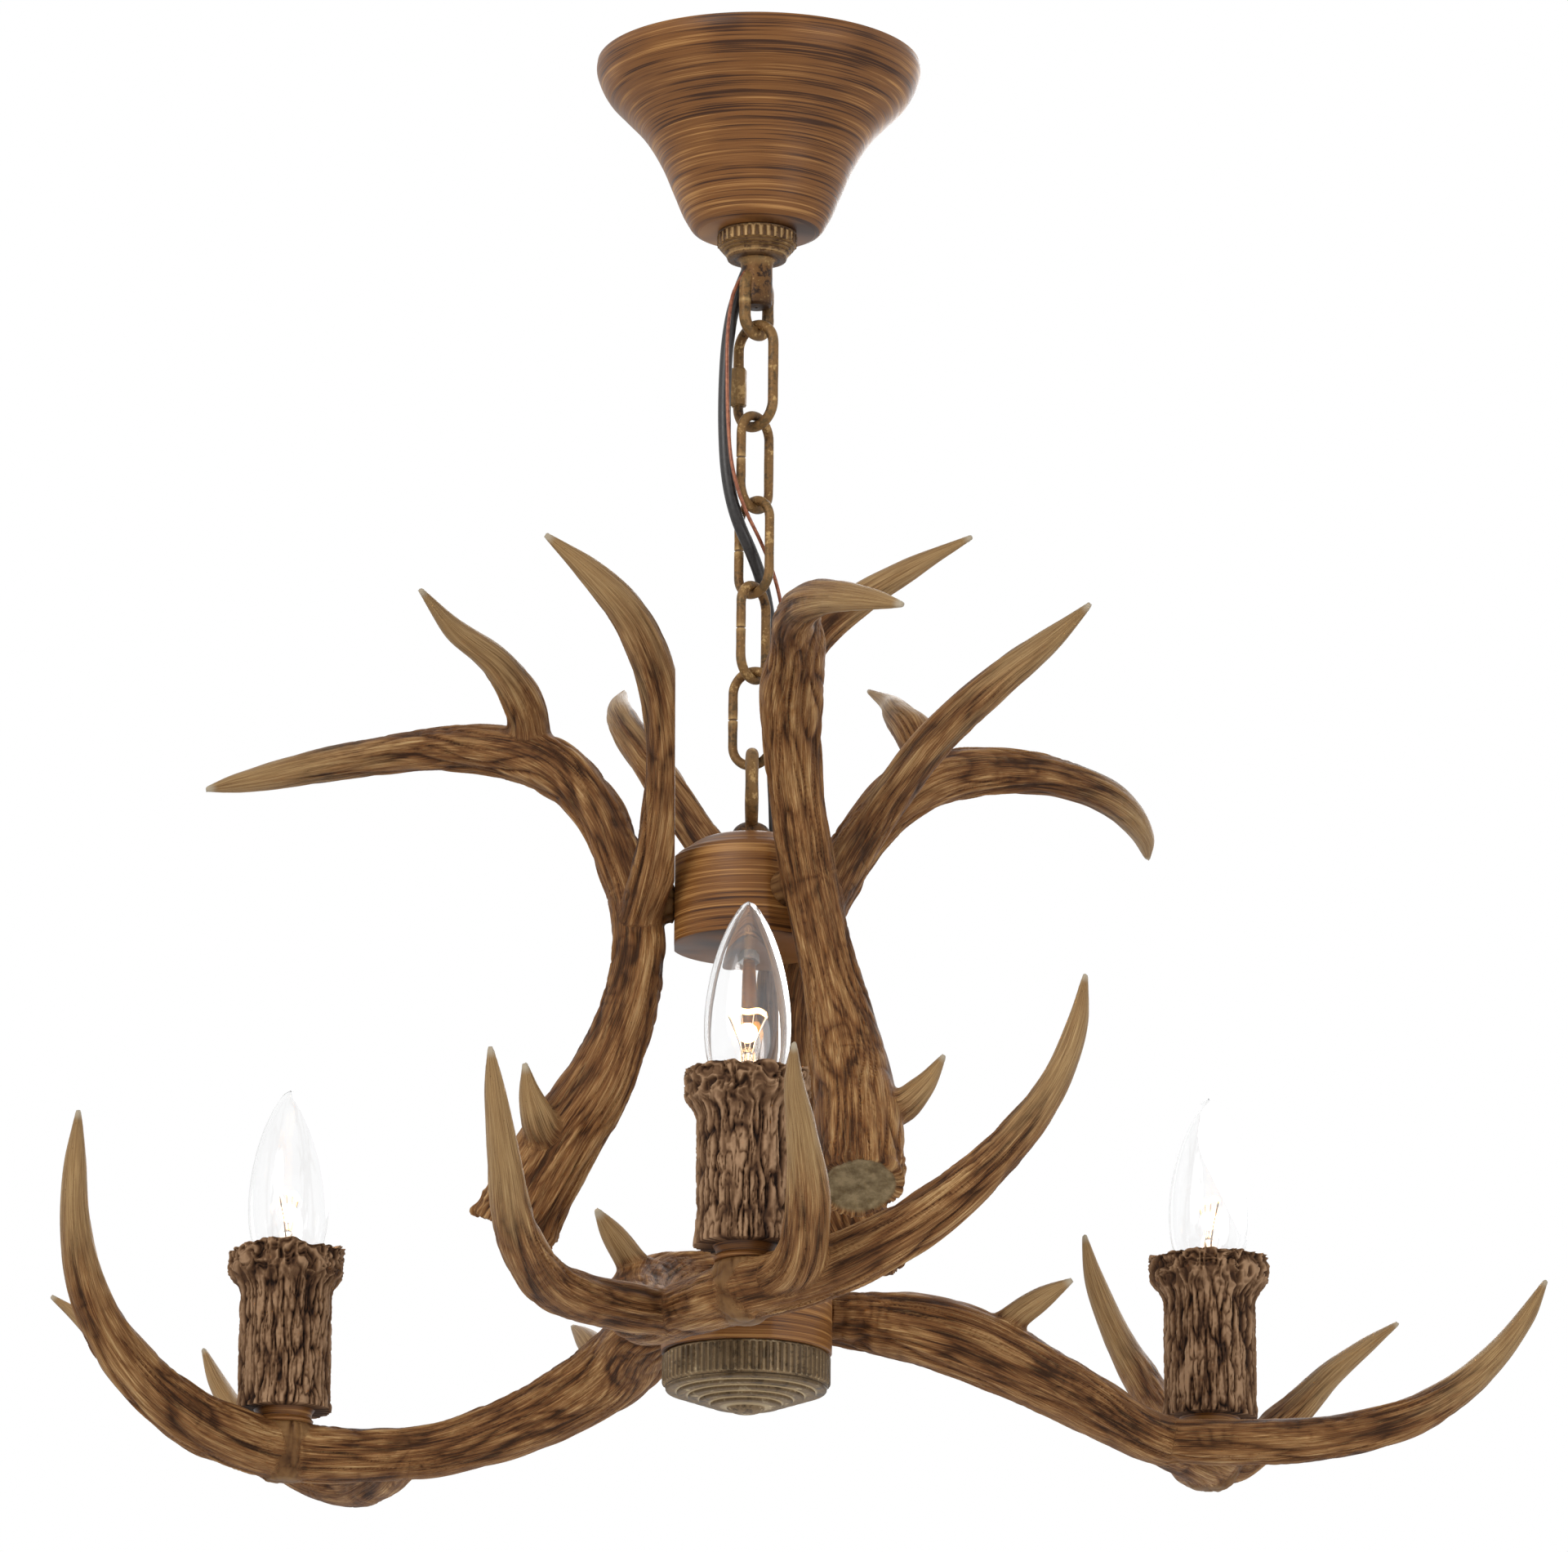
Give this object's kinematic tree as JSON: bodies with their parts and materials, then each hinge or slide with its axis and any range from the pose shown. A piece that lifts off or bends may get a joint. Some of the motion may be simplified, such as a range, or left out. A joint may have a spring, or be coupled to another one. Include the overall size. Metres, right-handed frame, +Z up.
{
  "type": "antler chandelier",
  "caption": "Hanging chandelier on a link chain, with branched antlers on turned hubs in two tiers, candle lamps in bark-textured sleeves and a stepped finial below.",
  "frame": {"origin": "centre of the canopy's rim in the ceiling plane; the whole fixture hangs below, at negative Z", "axes": "+Z up, out of the ceiling bracket's top face; +X along the bracket's two slots, to the viewer's right; -Y towards the viewer"},
  "size_m": [0.6317, 0.5819, 0.5894],
  "materials": {
    "canopy_paint": "satin brown paint with fine brushed streaks",
    "aged_metal": "antique rust and gold-brown patina",
    "hub_bronze": "satin bronze paint with rubbed edges",
    "steel": "zinc plated",
    "antler_resin": "matte brown to cream cast resin",
    "bark": "rough bark texture",
    "phenolic": "moulded lampholder",
    "base_brass": "plated screw shell",
    "bulb_glass": "clear",
    "filament": "glass stem with glowing filament",
    "cord_cover": "dark insulation",
    "ground_copper": "copper-red lacquer"
  },
  "bodies": {
    "ceiling_plate": {"ceiling_bracket": "steel", "nipple_locknut": "steel", "threaded_nipple": "steel", "canopy": "canopy_paint", "canopy_loop": "aged_metal", "supply_cord": "cord_cover", "ground_wire": "ground_copper"},
    "collar": {"canopy_collar": "aged_metal"},
    "quick_link": {"quick_link": "aged_metal"},
    "quick_sleeve": {"quick_link_sleeve": "aged_metal"},
    "link_1": {"chain_link_1": "aged_metal"},
    "link_2": {"chain_link_2": "aged_metal"},
    "link_3": {"chain_link_3": "aged_metal"},
    "link_4": {"chain_link_4": "aged_metal"},
    "fixture": {"hub_ring": "hub_bronze", "upper_hub_cover": "hub_bronze", "upper_hub": "hub_bronze", "centre_tube": "hub_bronze", "tube_nuts": "steel", "lower_hub": "hub_bronze", "upper_antler_screws": "steel", "lower_antler_screws": "steel", "upper_antler_a": "antler_resin", "lower_antler_a": "antler_resin", "lamp_post_a": "hub_bronze", "candle_sleeve_a": "bark", "lampholder_a": "phenolic", "upper_antler_b": "antler_resin", "lower_antler_b": "antler_resin", "lamp_post_b": "hub_bronze", "candle_sleeve_b": "bark", "lampholder_b": "phenolic", "upper_antler_c": "antler_resin", "lower_antler_c": "antler_resin", "lamp_post_c": "hub_bronze", "candle_sleeve_c": "bark", "lampholder_c": "phenolic"},
    "finial": {"finial_band": "hub_bronze", "finial_cap": "hub_bronze"},
    "bulb_a": {"bulb_base_a": "base_brass", "bulb_glass_a": "bulb_glass", "bulb_stem_a": "filament"},
    "bulb_b": {"bulb_base_b": "base_brass", "bulb_glass_b": "bulb_glass", "bulb_stem_b": "filament"},
    "bulb_c": {"bulb_base_c": "base_brass", "bulb_glass_c": "bulb_glass", "bulb_stem_c": "filament"}
  },
  "joints": [
    {"name": "quick_link_swing", "type": "hinge", "parent": "ceiling_plate", "child": "quick_link", "pos_m": [0, 0, -0.12], "axis": [0.6428, 0.766, 0], "range_deg": [-15, 15], "deforming": ["supply_cord", "ground_wire"]},
    {"name": "link_1_swing", "type": "hinge", "parent": "quick_link", "child": "link_1", "pos_m": [0, 0, -0.1594], "axis": [0.7431, -0.6691, 0], "range_deg": [-15, 15], "deforming": ["supply_cord", "ground_wire"]},
    {"name": "link_2_swing", "type": "hinge", "parent": "link_1", "child": "link_2", "pos_m": [0, 0, -0.1962], "axis": [0.6428, 0.766, 0], "range_deg": [-15, 15], "deforming": ["supply_cord", "ground_wire"]},
    {"name": "link_3_swing", "type": "hinge", "parent": "link_2", "child": "link_3", "pos_m": [0, 0, -0.2332], "axis": [0.7071, -0.7071, 0], "range_deg": [-15, 15], "deforming": ["supply_cord", "ground_wire"]},
    {"name": "link_4_swing", "type": "hinge", "parent": "link_3", "child": "link_4", "pos_m": [0, 0, -0.2702], "axis": [0.5736, 0.8192, 0], "range_deg": [-15, 15], "deforming": ["supply_cord", "ground_wire"]},
    {"name": "fixture_swing", "type": "hinge", "parent": "link_4", "child": "fixture", "pos_m": [0, 0, -0.3072], "axis": [0.9063, -0.4226, 0], "range_deg": [-15, 15], "deforming": ["supply_cord", "ground_wire"]},
    {"name": "collar_turn", "type": "hinge", "parent": "ceiling_plate", "child": "collar", "pos_m": [0, 0, -0.083], "axis": [0, 0, 1], "range_deg": [0, 360]},
    {"name": "finial_turn", "type": "hinge", "parent": "fixture", "child": "finial", "pos_m": [0, 0, -0.563], "axis": [0, 0, 1], "range_deg": [0, 360]},
    {"name": "quick_sleeve_slide", "type": "slide", "parent": "quick_link", "child": "quick_sleeve", "axis": [0, 0, 1], "range_m": [0, 0.0075]},
    {"name": "bulb_a_out", "type": "slide", "parent": "fixture", "child": "bulb_a", "axis": [0, 0, 1], "range_m": [0, 0.04]},
    {"name": "bulb_b_out", "type": "slide", "parent": "fixture", "child": "bulb_b", "axis": [0, 0, 1], "range_m": [0, 0.04]},
    {"name": "bulb_c_out", "type": "slide", "parent": "fixture", "child": "bulb_c", "axis": [0, 0, 1], "range_m": [0, 0.04]}
  ]
}
